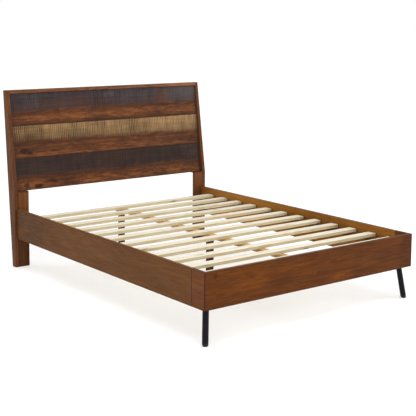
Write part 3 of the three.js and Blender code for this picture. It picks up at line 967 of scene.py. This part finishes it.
def add_welds():
    """A bead of weld round the top of each steel leg, under its plate."""
    for label, _ in SIDES:
        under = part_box("leg_plate_" + label)[0].z
        leg = nodes["steel_leg_" + label].data.vertices
        top = [vertex.co for vertex in leg if vertex.co.z > under - 2 * MM]
        middle = sum(top, Vector()) / len(top)
        reach = max((point - middle).length for point in top)
        show("leg_weld_" + label, weld_mesh(middle, reach, under), coat)


def pad_mesh(radius):
    return as_data(turned([
        (0, 0), (radius - 2.5 * MM, 0), (radius - 0.8 * MM, 0.7 * MM), (radius, 2.0 * MM),
        (radius, 3.6 * MM), (radius - 1.0 * MM, 4.8 * MM), (9.5 * MM, 5.6 * MM),
        (8.6 * MM, 6.0 * MM), (0, 6.0 * MM)], 48), "pad")


def thread_mesh(tall):
    """A threaded stem up to the height tall, its grooves turned as rings."""
    height = 11 * MM
    profile = [(0, STEM_LOW), (THREAD_ROOT, STEM_LOW)]
    while height < tall - 2 * THREAD_PITCH:
        profile += [(THREAD_ROOT, height), (SHANK, height + 0.45 * THREAD_PITCH),
                    (SHANK, height + 0.55 * THREAD_PITCH)]
        height += THREAD_PITCH
    profile += [(THREAD_ROOT, height), (THREAD_ROOT, tall), (0, tall)]
    return as_data(turned(profile, 20), "thread")


def add_levellers():
    """Each leveller with a round pad, a hexagon for the spanner and a threaded stem."""
    for label in ("middle", "head"):
        node = "leveller_" + label
        low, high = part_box(node)
        mesh = bmesh.new()
        for part in (pad_mesh((high.x - low.x) / 2), hex_prism(FLATS, HEX_LOW, HEX_HIGH),
                     thread_mesh(high.z - low.z)):
            mesh.from_mesh(part)
            bpy.data.meshes.remove(part)
        middle = centre(node)
        mesh.transform(Matrix.Translation((middle.x, middle.y, low.z)))
        piece = show("screw_leveller_" + label, as_data(mesh, "leveller"), nylon,
                     label + "_leveller")
        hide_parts(node)


add_screws()
add_bolts()
add_glue_lines()
add_filler_strips()
add_welds()
add_levellers()


# ---- Stage ----

FLOOR_SIZE = 120.0
FLOOR_GLOW = (1.5, 8.0, 0.15, 0.22)     # from and to these metres, from and to this strength
PALE = ((0.86, 0.86, 0.855, 1.0), (0.88, 0.88, 0.875, 1.0))
LIGHTS = (                      # name, place, aim, size, power in watts
    ("overhead", (-0.6, -0.6, 4.2), (0.0, 0.1, 0.3), (4.5, 4.5), 75.0),
    ("front", (-3.2, -5.4, 3.0), (0.0, 0.2, 0.5), (3.0, 2.2), 45.0),
    ("side", (4.6, -3.9, 2.0), (0.6, 1.0, 0.9), (1.6, 1.8), 55.0),
)


def build_floor():
    """A pale floor with a little light of its own, which grows away from the bed."""
    bpy.ops.mesh.primitive_plane_add(size=FLOOR_SIZE)
    floor = bpy.context.object
    floor.name = "floor"
    g = Graph("pale_floor", Roughness=0.9, Specular_IOR_Level=0.1, Emission_Color=WHITE)
    place = g.place()
    grain = g.noise(place, (3.0, 3.0, 3.0), 2.0)
    colour = g.ramp(grain, [(0.3, PALE[0]), (0.7, PALE[1])])
    g.put(g.shader.inputs["Base Color"], colour)
    reach = g.add("VectorMath", {0: place}, operation="LENGTH").outputs["Value"]
    g.put(g.shader.inputs["Emission Strength"], g.ease(reach, *FLOOR_GLOW))
    floor.data.materials.append(g.material)


def add_light(name, at, aim, size, power):
    data = bpy.data.lights.new(name, "AREA")
    data.shape = "RECTANGLE"
    data.size, data.size_y = size
    data.energy = power
    light = bpy.data.objects.new(name, data)
    bpy.context.scene.collection.objects.link(light)
    light.location = at
    light.rotation_euler = (Vector(aim) - Vector(at)).to_track_quat("-Z", "Y").to_euler()


def build_stage():
    world = bpy.data.worlds.new("studio")
    bpy.context.scene.world = world
    world.use_nodes = True
    sky = world.node_tree.nodes["Background"]
    sky.inputs["Color"].default_value = WHITE
    sky.inputs["Strength"].default_value = 1.0
    build_floor()
    for light in LIGHTS:
        add_light(*light)
    bpy.context.scene.view_settings.view_transform = "Standard"


def build_camera():
    data = bpy.data.cameras.new("camera")
    data.sensor_width = 36.0
    data.lens = FOCAL
    data.shift_y = SHIFT
    data.clip_end = 200.0
    camera = bpy.data.objects.new("camera", data)
    bpy.context.scene.collection.objects.link(camera)
    camera.matrix_world = (
        Matrix.Translation(CAMERA_AT)
        @ Matrix.Rotation(math.radians(-CAMERA_YAW), 4, "Z")
        @ Matrix.Rotation(math.radians(90 - CAMERA_DIP), 4, "X")
        @ Matrix.Rotation(math.radians(CAMERA_ROLL), 4, "Z"))
    bpy.context.scene.camera = camera


build_stage()
build_camera()
